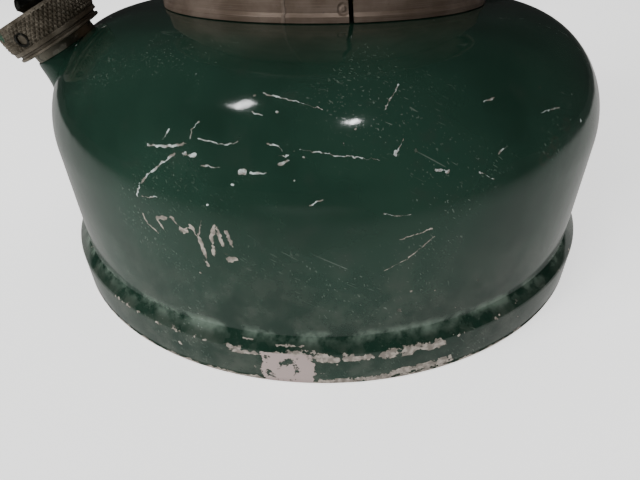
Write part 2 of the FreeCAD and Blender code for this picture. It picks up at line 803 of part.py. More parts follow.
def globe():
    """Heat-proof glass, slightly barrel-shaped, open at both ends."""
    low, high = globe_bottom, globe_top
    middle = (low + high) / 2
    bulge, end, glass = globe_radius, globe_end_radius, globe_glass
    return turned(
        (end - glass, low), (end, low), ((bulge, middle), (end, high)), (end - glass, high),
        ((bulge - glass, middle), (end - glass, low)))


# --- Ventilator ---------------------------------------------------------------------------------

chimney_radius = 41.0
skirt_crown = skirt_bottom + 26.0
baffle_low = globe_top + 0.3


def ventilator_skirt():
    """Lower bell of the hood, with a rolled rim and an open crown."""
    rim, t, low, high = skirt_radius, hood_sheet, skirt_bottom, skirt_crown
    return turned(
        (rim - t, low), (rim, low), (rim, low + 5), ((rim - 4.2, low + 13), (rim - 14, high - 5)),
        (chimney_radius + 4, high - 0.6), (chimney_radius, high), (chimney_radius, high - t),
        (chimney_radius + 3.8, high - 0.6 - t), (rim - 14.2, high - 5 - t),
        ((rim - 4.2 - t, low + 12.6), (rim - t, low + 5)))


def ventilator_baffle():
    """Seat that rests on the globe and carries the hood's lower bell."""
    t = hood_sheet
    low = baffle_low
    wide = skirt_radius - hood_sheet - 0.1
    return turned(
        (42, low), (globe_end_radius + 3, low), (wide - 2, skirt_bottom + 3), (wide, skirt_bottom + 3),
        (wide, skirt_bottom + 3 + t), (wide - 2.4, skirt_bottom + 3 + t), (globe_end_radius + 2.6, low + t),
        (42 + t, low + t), (42 + t, low + 4), (42, low + 4))


def ventilator_hat():
    """Upper dome that sheds rain, held clear of the bell."""
    t, rim, high = hood_sheet, hat_radius, hat_top
    low = skirt_crown + 0.5
    stud_hole = stud_radius + 0.35
    return turned(
        (rim - t, low), (rim, low), (rim, low + 5), ((rim - 7, low + 14), (rim - 22, high - 4.5)),
        ((16, high - 0.8), (stud_hole, high)), (stud_hole, high - t),
        ((16, high - 0.8 - t), (rim - 22.2, high - 4.5 - t)),
        ((rim - 7 - t * 0.8, low + 13.6), (rim - t, low + 5)))


def ventilator_bracket():
    """Riser strip between the bell's crown and the hat."""
    foot = Part.makeBox(7, 9, 1.0, V(chimney_radius + 0.2, -4.5, skirt_crown + 0.05))
    riser = Part.makeBox(1.0, 9, 9.6, V(chimney_radius + 0.2, -4.5, skirt_crown + 0.05))
    head = Part.makeBox(9, 9, 1.0, V(chimney_radius - 7.8, -4.5, skirt_crown + 8.65))
    return foot.fuse([riser, head]).removeSplitter()


def hood_rivet():
    rivet = rod(1.4, skirt_crown + 1.05, skirt_crown + 1.4).fuse(
        Part.makeSphere(2.0, V(0, 0, skirt_crown + 1.4)).common(rod(3, skirt_crown + 1.4, skirt_crown + 4)))
    rivet.translate(V(chimney_radius + 4.4, 0, 0))
    return rivet


def hood_stud():
    return rod(stud_radius, manifold_z + 5, hat_top + 9)


def ball_washer():
    return tube(7.0, stud_radius + 0.35, hat_top + 0.05, hat_top + 0.85)


def ball_nut():
    low = hat_top + 0.9
    r = ball_radius
    foot = 5.4
    sink = math.sqrt(r * r - foot * foot)
    centre = low + sink
    thread = stud_radius + run
    roof = low + 10.5
    return turned((thread, low), (foot, low), ((r, centre), (0, centre + r)), (0, roof), (thread, roof))


def build():
    nodes = {
        "tank_shell": [tank_shell()], "tank_bottom": [tank_bottom()], "filler_neck": [filler_neck()],
        "cap_gasket": [cap_gasket()], "cap_insert": [cap_insert()], "cap_shell": [cap_shell()],
        "cap_screw": [cap_screw()], "pump_barrel": [pump_barrel()],
        "check_valve_body": [check_valve_body()], "check_ball": [check_ball()], "air_stem": [air_stem()],
        "pump_cup": [pump_cup()], "cup_washer": [cup_washer()], "cup_nut": [cup_nut()],
        "plunger_rod": [plunger_rod()], "pump_knob": [pump_knob()], "pump_cap": [pump_cap()],
        "centre_bushing": [centre_bushing()], "valve_body": [valve_body()], "packing_nut": [packing_nut()],
        "valve_stem": [valve_stem()], "valve_wheel": [valve_wheel()], "wheel_screw": [wheel_screw()],
        "cleaner_lever": [cleaner_lever()], "cleaner_packing_nut": [cleaner_packing_nut()],
        "pickup_tube": [pickup_tube()], "pickup_rod": [pickup_rod()], "collar": [collar()],
        "frame_plate": [frame_plate()], "frame_nut": [frame_nut()], "heat_shield": [heat_shield()],
        "guard_loop_left": [guard_loop(-1)], "guard_loop_right": [guard_loop(1)],
        "bail_ear_left": [bail_ear(-1)], "bail_ear_right": [bail_ear(1)], "bail": [bail()],
        "generator_tube": [generator_tube()], "generator_nut": [generator_nut()],
        "generator_jet": [generator_jet()], "cleaning_rod": [cleaning_rod()],
        "intake_tube": [intake_tube()], "manifold": [manifold()],
        "burner_cap_left": [burner_cap(-1)], "burner_cap_right": [burner_cap(1)],
        "burner_screens": [burner_screen(-1), burner_screen(1)],
        "mantle_left": [mantle(-1)], "mantle_right": [mantle(1)],
        "mantle_ties": [mantle_tie(-1), mantle_tie(1)], "globe": [globe()],
        "ventilator_skirt": [ventilator_skirt()], "ventilator_baffle": [ventilator_baffle()],
        "ventilator_hat": [ventilator_hat()], "ventilator_brackets": ring_of(ventilator_bracket(), 3, 30),
        "hood_rivets": ring_of(hood_rivet(), 3, 30), "hood_stud": [hood_stud()],
        "ball_washer": [ball_washer()], "ball_nut": [ball_nut()]}
    for name, shapes in nodes.items():
        save(name, *shapes)
    print(len(nodes), "nodes written")


build()
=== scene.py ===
import bpy
import bmesh
import json
import math
import random
from mathutils import Matrix, Vector


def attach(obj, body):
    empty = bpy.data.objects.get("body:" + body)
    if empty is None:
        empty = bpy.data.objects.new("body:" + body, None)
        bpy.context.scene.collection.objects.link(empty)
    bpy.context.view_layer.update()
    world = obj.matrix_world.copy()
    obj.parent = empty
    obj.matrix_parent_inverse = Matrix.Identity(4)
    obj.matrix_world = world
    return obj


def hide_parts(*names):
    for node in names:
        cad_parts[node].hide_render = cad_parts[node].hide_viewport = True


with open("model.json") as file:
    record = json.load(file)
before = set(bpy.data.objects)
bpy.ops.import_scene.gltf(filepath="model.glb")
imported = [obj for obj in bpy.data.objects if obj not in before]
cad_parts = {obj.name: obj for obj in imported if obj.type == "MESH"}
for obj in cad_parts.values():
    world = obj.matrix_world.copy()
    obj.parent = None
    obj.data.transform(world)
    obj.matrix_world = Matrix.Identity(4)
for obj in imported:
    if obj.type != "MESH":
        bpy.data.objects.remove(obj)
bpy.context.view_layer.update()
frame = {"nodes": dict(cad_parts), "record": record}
scene = bpy.context.scene
mm = 0.001

# The fount in mm; the marks, the fittings and the enamel are placed by it too.
tankSizes = dict(wall=83.2, foot=86.0, footHeight=10.0, flare=2.8, hem=2.5, hemWidth=2.6, sheet=1.0,
                 shoulder=30.0, shoulderZ=42.0, sweep=85.0, flat=20.0, hole=12.05, corner=0.35, steps=320)
wallRadius = tankSizes["wall"] * mm
shoulderZ = tankSizes["shoulderZ"]
shoulderRadius = tankSizes["shoulder"]
shoulderCentre = tankSizes["wall"] - shoulderRadius
print("stage: frame loaded,", len(frame["nodes"]), "nodes")


# Node tree helpers: a value is a number, a colour or another node's output.
def feed(tree, socket, value):
    if isinstance(value, bpy.types.NodeSocket):
        tree.links.new(value, socket)
    elif value is not None:
        socket.default_value = value


def put(tree, kind, inputs=None, **settings):
    made = tree.nodes.new(kind)
    for key, value in settings.items():
        setattr(made, key, value)
    for key, value in (inputs or {}).items():
        feed(tree, made.inputs[key], value)
    return made


def calc(tree, operation, a, b=0.5, clamp=False):
    return put(tree, "ShaderNodeMath", {0: a, 1: b}, operation=operation, use_clamp=clamp).outputs[0]


def vector(tree, operation, a, b=(0, 0, 0), out="Vector"):
    return put(tree, "ShaderNodeVectorMath", {0: a, 1: b}, operation=operation).outputs[out]


def ramp(tree, value, low, high, start=0.0, end=1.0):
    made = put(tree, "ShaderNodeMapRange", {0: value, 1: low, 2: high, 3: start, 4: end},
               interpolation_type="SMOOTHSTEP")
    return made.outputs[0]


def tint(tree, factor, a, b):
    return put(tree, "ShaderNodeMix", {0: factor, 6: a, 7: b}, data_type="RGBA").outputs[2]


def either(tree, *values):
    most = values[0]
    for value in values[1:]:
        most = calc(tree, "MAXIMUM", most, value)
    return most


def times(tree, *values):
    product = values[0]
    for value in values[1:]:
        product = calc(tree, "MULTIPLY", product, value)
    return product


def place(tree):
    return put(tree, "ShaderNodeTexCoord").outputs["Object"]


def grain(tree, where, scale, detail=3.0, roughness=0.55, stretch=None, turn=None):
    if turn:
        where = put(tree, "ShaderNodeVectorRotate", {"Vector": where, "Rotation": turn},
                    rotation_type="EULER_XYZ").outputs[0]
    if stretch:
        where = vector(tree, "MULTIPLY", where, stretch)
    noise = {"Vector": where, "Scale": scale, "Detail": detail, "Roughness": roughness}
    return put(tree, "ShaderNodeTexNoise", noise).outputs[0]


def scratchLines(tree, where, turn, length, pitch, low, high):
    # Thin straight streaks in one direction, broken up by a coarser grain.
    lines = grain(tree, where, 1.0, 1.0, 0.5, (1 / length, 1 / pitch, 1 / pitch), turn)
    return ramp(tree, lines, low, high)


def relief(tree, height, depth, strength=1.0, normal=None):
    made = put(tree, "ShaderNodeBump", {"Height": height, "Distance": depth, "Strength": strength})
    if normal is not None:
        tree.links.new(normal, made.inputs["Normal"])
    return made.outputs[0]


def newMaterial(name, **sockets):
    material = bpy.data.materials.new(name)
    material.use_nodes = True
    tree = material.node_tree
    tree.nodes.clear()
    shader = put(tree, "ShaderNodeBsdfPrincipled", sockets)
    out = put(tree, "ShaderNodeOutputMaterial")
    tree.links.new(shader.outputs[0], out.inputs[0])
    return material, tree, shader


def aroundAxis(tree, where, radius):
    # Metres round the Z axis at a radius, and metres up it.
    split = put(tree, "ShaderNodeSeparateXYZ", {0: where})
    angle = calc(tree, "ARCTAN2", split.outputs[1], split.outputs[0])
    around = calc(tree, "MULTIPLY", angle, radius)
    return around, split.outputs[2]


# Marks on the tank are paths of (degrees round from +X, millimetres up), grouped by half width in mm.
tankMarks = {
    0.13: [
        [(72, 60), (71, 58.7), (71.1, 57.3)], [(67.4, 58.1), (66.6, 56.4)],
        [(72.2, 57.4), (74.8, 57), (76.3, 56.7), (78, 57.5)], [(73, 52.9), (75.8, 53)],
        [(62.8, 44.4), (65.6, 45.1)], [(82, 57.5), (83.7, 57.1), (84.2, 56.3)],
        [(81, 64.7), (86.8, 63.5), (89.5, 62.6)], [(79.6, 62), (81.2, 61.6)],
        [(86.6, 56.6), (90.5, 55.9), (97, 54.7)], [(98.3, 62.5), (100.9, 65.6)],
        [(97.6, 44.9), (99.2, 44), (101.2, 44)], [(124.4, 58), (129.5, 57.8)],
        [(116, 62.1), (113.8, 61.9)], [(89.4, 48), (87.7, 47)], [(76.5, 11.7), (78.3, 11.6)],
        [(82, 11.2), (86.2, 11.3)], [(105, 38), (101, 33), (98, 31)], [(100, 38.5), (104.5, 40)],
    ],
    0.24: [
        [(68.7, 54.2), (67.1, 52.5), (64.7, 49.9), (62.6, 47), (61.8, 44.4)],
        [(64.2, 55), (67.6, 55.4), (70.4, 56.3)], [(80.1, 52.5), (82, 52.5)],
        [(83.8, 54.1), (85, 54.8)], [(99, 55.3), (100.4, 57.6)], [(114.5, 53), (116.3, 54)],
        [(111.3, 50.3), (113.5, 48.4)], [(62.1, 39.9), (62.6, 37.8), (64.2, 36.2)],
        [(64.6, 39.9), (65.8, 36.8)], [(72.6, 41.9), (71.6, 38)], [(77.5, 50), (77.6, 50.1)],
        [(73.7, 45.5), (73.8, 45.6)],
    ],
    0.45: [
        # The chip from 83.8 to 85.1 degrees, about 55.5 mm up, also stands in for a glint there: a painted
        # highlight.
        [(70.1, 54.4), (71.9, 54.6)], [(78.5, 52.6), (79.2, 52.7)], [(83.8, 55.5), (85.1, 55.9)],
        [(104.6, 52), (106.2, 51.6)], [(67.5, 41.1), (69.1, 38.5)],
        [(70.6, 39.6), (71.8, 36.5), (72.3, 30.2)],
        [(74.5, 41.4), (73.7, 38.1), (73.5, 33.8)], [(64.8, 40), (67.5, 41.1)],
        [(75.2, 36.1), (74.7, 40.7)], [(76, 40.1), (76.7, 36.5)],
    ],
    0.8: [
        [(75.8, 33), (77.3, 33.4)], [(69.1, 38.5), (70.6, 39.6)],
    ],
}
footMarks = [
    (0.9, [(82, 8.9), (88, 9.3), (90.8, 8.4)]), (0.7, [(92.8, 8.8), (96.3, 8.8)]),
    (0.9, [(98.6, 8.8), (103.4, 8.9), (108, 8.9)]), (0.6, [(89, 1), (99.6, 1.3)]),
    (0.8, [(100.2, 2.2), (110, 2.5)]), (0.5, [(74.6, 8.8), (79, 8.8)]),
]
ringMarks = [(123.7, 49.2), (125.6, 50.1), (126.5, 51.6), (130.4, 54.1)]


def onTank(mark):
    # Metres round and along the tank's outer face, with the shoulder laid out flat.
    turn, height = mark
    over = max(0.0, (height - shoulderZ) / shoulderRadius)
    along = min(height, shoulderZ) + shoulderRadius * math.asin(min(1.0, over))
    return Vector((math.radians(turn) * wallRadius, along * mm, 0))


def strokes(tree, where, paths, nearest=None):
    # Distance in metres to the nearest of some paths.
    for path in paths:
        ends = [onTank(mark) for mark in path]
        for start, end in zip(ends, ends[1:]):
            run = end - start
            if nearest is not None:
                # A trace of the last result keeps the renderer from working all of them out at once.
                where = put(tree, "ShaderNodeVectorMath", {0: nearest, 1: (1e-9, 0, 0), 2: where},
                            operation="MULTIPLY_ADD").outputs[0]
            back = vector(tree, "SUBTRACT", where, start)
            share = vector(tree, "DOT_PRODUCT", back, run / run.length_squared, "Value")
            share = calc(tree, "ADD", share, 0.0, clamp=True)
            spot = put(tree, "ShaderNodeVectorMath", {0: share, 1: run, 2: start}, operation="MULTIPLY_ADD")
            away = vector(tree, "DISTANCE", where, spot.outputs[0], "Value")
            nearest = away if nearest is None else calc(tree, "MINIMUM", nearest, away)
    return nearest


def enamel(name, marked, settings):
    material, tree, shader = newMaterial(name, IOR=1.5)
    where = place(tree)
    around, height = aroundAxis(tree, where, wallRadius)
    broad = grain(tree, where, 22, 4)
    mottle = grain(tree, where, 160, 4, 0.6)
    fine = grain(tree, where, 1500, 3, 0.6)
    colour = tint(tree, ramp(tree, broad, 0.38, 0.66), settings["dark"], settings["light"])
    colour = tint(tree, ramp(tree, mottle, 0.55, 0.75, 0, 0.35), colour, settings["dull"])

    # Hairlines from handling, in four directions.
    hair = None
    for turn, length, pitch, low in settings["hairs"]:
        lines = scratchLines(tree, where, turn, length, pitch, low, low + 0.05)
        hair = lines if hair is None else calc(tree, "MAXIMUM", hair, lines)
    hair = times(tree, hair, ramp(tree, grain(tree, where, 45, 2), 0.46, 0.62))
    colour = tint(tree, calc(tree, "MULTIPLY", hair, settings["hairTint"]), colour, (0.22, 0.25, 0.21, 1))

    # Specks where the enamel has come off.
    speck = ramp(tree, grain(tree, where, 420, 2, 0.5), 0.715, 0.74)
    bare = times(tree, speck, ramp(tree, grain(tree, where, 30, 2), 0.5, 0.6))
    if marked:
        along = calc(tree, "MINIMUM", height, shoulderZ * mm)
        over = calc(tree, "SUBTRACT", height, shoulderZ * mm)
        over = calc(tree, "DIVIDE", over, shoulderRadius * mm, clamp=True)
        along = calc(tree, "ADD", along, times(tree, calc(tree, "ARCSINE", over), shoulderRadius * mm))
        wobble = put(tree, "ShaderNodeTexNoise", {"Vector": where, "Scale": 900.0, "Detail": 3.0})
        shift = vector(tree, "SUBTRACT", wobble.outputs[1], (0.5, 0.5, 0.5))
        shift = vector(tree, "MULTIPLY", shift, (0.0011, 0.0011, 0))
        flat = put(tree, "ShaderNodeCombineXYZ", {0: around, 1: along}).outputs[0]
        flat = vector(tree, "ADD", flat, shift)
        gaps = grain(tree, where, 520, 3, 0.6)
        for width, paths in tankMarks.items():
            away = strokes(tree, flat, paths)
            reach = calc(tree, "MULTIPLY", ramp(tree, gaps, 0.36, 0.58), width * mm)
            mark = ramp(tree, calc(tree, "SUBTRACT", away, reach), 0.00010, -0.00006)
            bare = either(tree, bare, mark)
        for turn, up in ringMarks:
            off = vector(tree, "DISTANCE", flat, onTank((turn, up)), "Value")
            off = calc(tree, "ABSOLUTE", calc(tree, "SUBTRACT", off, 0.0012))
            bare = either(tree, bare, ramp(tree, off, 0.00035, 0.0002, 0, 0.35))
        for width, path in footMarks:
            away = strokes(tree, flat, [path])
            reach = calc(tree, "MULTIPLY", ramp(tree, gaps, 0.3, 0.6), width * mm * 1.6)
            bare = either(tree, bare, ramp(tree, calc(tree, "SUBTRACT", away, reach), 0.0002, -0.0001))
        # Foot ring: worn along both of its edges, most of all at the back.
        turnAway = calc(tree, "SUBTRACT", around, math.radians(92) * wallRadius)
        rear = ramp(tree, calc(tree, "ABSOLUTE", turnAway), 0.07, 0.01)
        lowEdge = ramp(tree, height, 0.0022, 0.0)
        highEdge = ramp(tree, calc(tree, "ABSOLUTE", calc(tree, "SUBTRACT", height, 0.0099)), 0.0013, 0.0)
        edges = calc(tree, "ADD", times(tree, lowEdge, 0.34), times(tree, highEdge, 0.13))
        ragged = grain(tree, where, 330, 5, 0.65)
        wear = calc(tree, "ADD", calc(tree, "ADD", ragged, edges), times(tree, rear, 0.04))
        foot = ramp(tree, wear, 0.715, 0.75)
        patchAway = calc(tree, "ABSOLUTE", calc(tree, "SUBTRACT", around, math.radians(83.6) * wallRadius))
        patch = times(tree, ramp(tree, patchAway, 0.0075, 0.0050), ramp(tree, height, 0.0104, 0.0096))
        patch = ramp(tree, calc(tree, "ADD", times(tree, patch, 0.34), ragged), 0.74, 0.78)
        under = ramp(tree, height, 0.0110, 0.0104)
        bare = either(tree, bare, times(tree, foot, under), patch)
        # Painted light on the ledge above the ring: a lighter green-grey in mottled patches, for the light
        # that the upward-facing ledge catches from above. Dust low on the wall.
        ledge = ramp(tree, calc(tree, "ABSOLUTE", calc(tree, "SUBTRACT", height, 0.0130)), 0.0022, 0.0)
        ledgeLight = times(tree, ledge, ramp(tree, mottle, 0.4, 0.65), 0.75)
        colour = tint(tree, ledgeLight, colour, (0.085, 0.120, 0.095, 1))
        dusty = times(tree, ramp(tree, height, 0.045, 0.005), ramp(tree, mottle, 0.35, 0.7), 0.10)
        colour = tint(tree, dusty, colour, (0.20, 0.20, 0.17, 1))
    rim = calc(tree, "SUBTRACT", ramp(tree, bare, 0.05, 0.45), ramp(tree, bare, 0.55, 0.95))
    # The marks are real bare metal. Their paler, bluer tone on the shoulder is a painted highlight for the
    # glints that the upward-facing shoulder catches.
    bareGlintByHeight = tint(tree, ramp(tree, height, 0.041, 0.046), settings["bareLight"], settings["bareShoulderGlint"])
    metal = tint(tree, ramp(tree, grain(tree, where, 700, 3), 0.4, 0.62), settings["bareDark"], bareGlintByHeight)
    if marked:
        metal = tint(tree, patch, metal, settings["patch"])
    colour = tint(tree, ramp(tree, bare, 0.45, 0.7), colour, metal)
    colour = tint(tree, times(tree, rim, 0.6), colour, (0.020, 0.024, 0.017, 1))
    feed(tree, shader.inputs["Base Color"], colour)
    rough = calc(tree, "ADD", settings["gloss"], ramp(tree, mottle, 0.45, 0.8, 0, 0.10))
    rough = calc(tree, "ADD", rough, times(tree, hair, 0.18))
    rough = calc(tree, "ADD", rough, ramp(tree, bare, 0.3, 0.7, 0, 0.42))
    feed(tree, shader.inputs["Roughness"], rough)
    feed(tree, shader.inputs["Metallic"], ramp(tree, bare, 0.4, 0.8, 0, 0.35))
    bumps = relief(tree, broad, settings["sag"], 1.0)
    bumps = relief(tree, fine, 0.000006, 1.0, bumps)
    feed(tree, shader.inputs["Normal"], bumps)
    return material


enamelLook = dict(
    dark=(0.0052, 0.0150, 0.0098, 1), light=(0.0092, 0.0240, 0.0162, 1), dull=(0.0125, 0.0215, 0.0160, 1),
    # The last bare colour, for marks on the shoulder, is paler and bluer: a painted highlight for their
    # glints.
    bareDark=(0.16, 0.14, 0.12, 1), bareLight=(0.34, 0.30, 0.26, 1), bareShoulderGlint=(0.44, 0.49, 0.48, 1),
    patch=(0.33, 0.265, 0.25, 1), gloss=0.08, sag=0.00035, hairTint=0.16,
    hairs=[((0.2, 0.5, 0.1), 0.05, 0.00045, 0.70), ((0.9, 1.2, 0.4), 0.03, 0.0006, 0.71),
           ((1.9, 0.3, 1.1), 0.06, 0.0005, 0.70), ((0.4, 2.2, 2.0), 0.025, 0.0007, 0.72)])


def worn(name, look):
    # Plated or bare metal with stains, pits, fine scratches and soft unevenness.
    material, tree, shader = newMaterial(name)
    where = place(tree)
    cloud = grain(tree, where, look.get("cloudScale", 70), 4, 0.6)
    pit = grain(tree, where, look.get("pitScale", 900), 3, 0.6)
    line = None
    for turn in ((0.3, 0.4, 0.2), (1.3, 0.7, 2.1), (2.4, 1.8, 0.9)):
        made = scratchLines(tree, where, turn, 0.02, look.get("pitch", 0.0003), 0.64, 0.72)
        line = made if line is None else calc(tree, "MAXIMUM", line, made)
    colour = tint(tree, ramp(tree, cloud, 0.35, 0.65), look["low"], look["high"])
    stain = grain(tree, where, look.get("stainScale", 240), 4, 0.65)
    stain = ramp(tree, stain, 0.56, 0.66, 0, look.get("stain", 0.5))
    colour = tint(tree, stain, colour, look.get("stainColour", (0.03, 0.025, 0.018, 1)))
    lineColour = look.get("lineColour", look["high"])
    colour = tint(tree, times(tree, line, look.get("lineTint", 0.3)), colour, lineColour)
    feed(tree, shader.inputs["Base Color"], colour)
    metal = look.get("metal", 1.0)
    if metal == 0:
        shader.inputs["Metallic"].default_value = 0
    else:
        metal = calc(tree, "SUBTRACT", metal, times(tree, stain, 0.8), clamp=True)
        feed(tree, shader.inputs["Metallic"], metal)
    rough = calc(tree, "ADD", look["rough"], times(tree, calc(tree, "SUBTRACT", cloud, 0.5), 0.3))
    rough = calc(tree, "ADD", rough, times(tree, stain, 0.3))
    rough = calc(tree, "ADD", rough, times(tree, line, 0.1), clamp=True)
    feed(tree, shader.inputs["Roughness"], rough)
    bumps = relief(tree, cloud, look.get("dents", 0.0001), 1.0)
    bumps = relief(tree, pit, look.get("pitDepth", 0.00002), 1.0, bumps)
    bumps = relief(tree, line, -0.00001, 0.5, bumps)
    feed(tree, shader.inputs["Normal"], bumps)
    return material


metalLooks = {
    "aged_nickel": dict(low=(0.125, 0.115, 0.085, 1), high=(0.27, 0.255, 0.205, 1), rough=0.40, stain=0.75,
                        stainColour=(0.020, 0.020, 0.013, 1), pitDepth=0.00004),
    "brass": dict(low=(0.34, 0.22, 0.075, 1), high=(0.56, 0.40, 0.155, 1), rough=0.33, stain=0.55,
                  stainColour=(0.07, 0.045, 0.02, 1)),
    "steel": dict(low=(0.26, 0.25, 0.23, 1), high=(0.44, 0.43, 0.41, 1), rough=0.36, stain=0.45,
                  stainColour=(0.085, 0.055, 0.035, 1)),
    "wire": dict(low=(0.38, 0.37, 0.34, 1), high=(0.58, 0.56, 0.53, 1), rough=0.26, stain=0.35,
                 stainColour=(0.10, 0.07, 0.045, 1)),
    "burner_iron": dict(low=(0.07, 0.062, 0.055, 1), high=(0.16, 0.135, 0.11, 1), rough=0.58, stain=0.6,
                        stainColour=(0.10, 0.045, 0.02, 1), pitScale=1400, pitDepth=0.00012, metal=0.8),
    "dark_screw": dict(low=(0.035, 0.036, 0.032, 1), high=(0.085, 0.085, 0.078, 1), rough=0.42, stain=0.5,
                       stainColour=(0.012, 0.012, 0.010, 1)),
    "nickel_ball": dict(low=(0.44, 0.42, 0.38, 1), high=(0.66, 0.64, 0.60, 1), rough=0.2, stain=0.3,
                        stainColour=(0.12, 0.10, 0.07, 1)),
    "wheel_black": dict(low=(0.008, 0.008, 0.0075, 1), high=(0.017, 0.016, 0.015, 1), rough=0.32, metal=0,
                        stain=0.3, stainColour=(0.035, 0.032, 0.028, 1), lineTint=0.5,
                        lineColour=(0.05, 0.05, 0.048, 1)),
    "ceramic": dict(low=(0.50, 0.47, 0.41, 1), high=(0.72, 0.70, 0.65, 1), rough=0.72, metal=0, stain=0.6,
                    stainColour=(0.10, 0.075, 0.055, 1), pitDepth=0.00008),
    "leather": dict(low=(0.075, 0.035, 0.016, 1), high=(0.15, 0.08, 0.038, 1), rough=0.55, metal=0,
                    pitDepth=0.00012, lineColour=(0.03, 0.015, 0.008, 1)),
    "rubber": dict(low=(0.012, 0.012, 0.011, 1), high=(0.025, 0.024, 0.022, 1), rough=0.75, metal=0),
}


# The collar in metres, and where its marks are in degrees round from +X.
bandSizes = dict(radius=0.047, creaseTurn=78.9, dentTurn=94.9, dentHeight=0.0756, dentRing=0.0009)


def brushedBand(name):
    # Warm nickel band: drawn lines round it, a weld crease and a small ring-shaped dent at the back.
    material, tree, shader = newMaterial(name, Anisotropic=0.45)
    where = place(tree)
    around, height = aroundAxis(tree, where, bandSizes["radius"])
    flat = put(tree, "ShaderNodeCombineXYZ", {0: around, 1: height}).outputs[0]
    drawn = grain(tree, flat, 1.0, 4, 0.6, (60, 5200, 1))
    rubbed = grain(tree, flat, 1.0, 3, 0.6, (160, 1500, 1))
    cloud = grain(tree, where, 85, 4, 0.6)
    pits = ramp(tree, grain(tree, where, 1300, 2), 0.64, 0.72)
    colour = tint(tree, ramp(tree, cloud, 0.35, 0.68), (0.105, 0.076, 0.056, 1), (0.19, 0.146, 0.116, 1))
    colour = tint(tree, ramp(tree, drawn, 0.45, 0.72, 0, 0.45), colour, (0.27, 0.215, 0.18, 1))
    colour = tint(tree, times(tree, pits, 0.6), colour, (0.07, 0.055, 0.045, 1))
    wobble = times(tree, calc(tree, "SUBTRACT", grain(tree, where, 1100, 2), 0.5), 0.0011)
    spot = calc(tree, "ADD", around, wobble)
    creaseSpot = math.radians(bandSizes["creaseTurn"]) * bandSizes["radius"]
    crease = calc(tree, "ABSOLUTE", calc(tree, "SUBTRACT", spot, creaseSpot))
    crease = ramp(tree, crease, 0.00055, 0.00015)
    dentSpot = (math.radians(bandSizes["dentTurn"]) * bandSizes["radius"], bandSizes["dentHeight"], 0)
    dent = vector(tree, "DISTANCE", flat, dentSpot, "Value")
    dent = calc(tree, "ABSOLUTE", calc(tree, "SUBTRACT", dent, bandSizes["dentRing"]))
    dent = ramp(tree, dent, 0.0006, 0.0)
    colour = tint(tree, times(tree, crease, 0.55), colour, (0.05, 0.04, 0.032, 1))
    feed(tree, shader.inputs["Base Color"], colour)
    marred = times(tree, either(tree, pits, crease), 0.4)
    feed(tree, shader.inputs["Metallic"], calc(tree, "SUBTRACT", 0.62, marred))
    rough = calc(tree, "ADD", 0.30, times(tree, rubbed, 0.16))
    feed(tree, shader.inputs["Roughness"], calc(tree, "ADD", rough, times(tree, crease, 0.2)))
    bumps = relief(tree, drawn, 0.000012, 1.0)
    bumps = relief(tree, cloud, 0.00012, 1.0, bumps)
    bumps = relief(tree, crease, 0.00018, 1.0, bumps)
    bumps = relief(tree, dent, -0.00025, 1.0, bumps)
    feed(tree, shader.inputs["Normal"], bumps)
    return material


def clearGlass(name):
    material, tree, shader = newMaterial(name, **{"Base Color": (0.965, 0.98, 0.972, 1), "IOR": 1.47,
                                                  "Transmission Weight": 1.0, "Metallic": 0.0})
    where = place(tree)
    smear = grain(tree, where, 60, 4, 0.6, (1, 1, 0.35))
    feed(tree, shader.inputs["Roughness"], ramp(tree, smear, 0.5, 0.75, 0.01, 0.10))
    ripple = grain(tree, where, 35, 2, 0.5)
    feed(tree, shader.inputs["Normal"], relief(tree, ripple, 0.0002, 0.6))
    return material


def knittedCloth(name):
    # Ash-white open knit: rows of loops round the sock.
    material, tree, shader = newMaterial(name, **{"Roughness": 0.92, "Sheen Weight": 0.25})
    grid = put(tree, "ShaderNodeUVMap").outputs[0]
    across = put(tree, "ShaderNodeSeparateXYZ", {0: grid})
    wales = calc(tree, "ABSOLUTE", calc(tree, "SINE", times(tree, across.outputs[0], math.pi / 0.0011)))
    rowTurn = calc(tree, "ADD", times(tree, across.outputs[1], math.pi / 0.0010), times(tree, wales, 0.8))
    rows = calc(tree, "ABSOLUTE", calc(tree, "SINE", rowTurn))
    knit = times(tree, wales, rows)
    fuzz = grain(tree, place(tree), 2600, 3, 0.6)
    # The loops are ash-white; the gaps between them are painted darker, as painted shade for the open holes
    # of the knit.
    colour = tint(tree, ramp(tree, knit, 0.05, 0.6), (0.34, 0.32, 0.29, 1), (0.82, 0.81, 0.77, 1))
    soot = ramp(tree, grain(tree, place(tree), 55, 3), 0.5, 0.7, 0, 0.35)
    colour = tint(tree, soot, colour, (0.62, 0.58, 0.50, 1))
    feed(tree, shader.inputs["Base Color"], colour)
    bumps = relief(tree, knit, 0.00025, 1.0)
    feed(tree, shader.inputs["Normal"], relief(tree, fuzz, 0.00006, 1.0, bumps))
    return material


materials = {name: worn(name + "Finish", look) for name, look in metalLooks.items()}
materials["green_enamel"] = enamel("tankEnamel", True, enamelLook)
hoodLook = dict(enamelLook, gloss=0.16, sag=0.0002)
hoodEnamel = enamel("hoodEnamel", False, hoodLook)
materials["nickel_band"] = brushedBand("bandNickel")
materials["globe_glass"] = clearGlass("globeGlass")
materials["mantle_cloth"] = knittedCloth("mantleCloth")
slotOf = {entry["node"]: entry["material_slot"] for entry in frame["record"]["subparts"]}


def dress(piece, material):
    piece.data.materials.clear()
    piece.data.materials.append(material)


for nodeName, node in frame["nodes"].items():
    dress(node, materials[slotOf[nodeName]])
for nodeName in ("ventilator_skirt", "ventilator_hat"):
    dress(frame["nodes"][nodeName], hoodEnamel)
print("stage: materials")


def addPiece(name, mesh, material, body, nodes=()):
    piece = bpy.data.objects.new(name, mesh)
    scene.collection.objects.link(piece)
    dress(piece, material)
    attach(piece, body)
    if nodes:
        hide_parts(*nodes)
    return piece


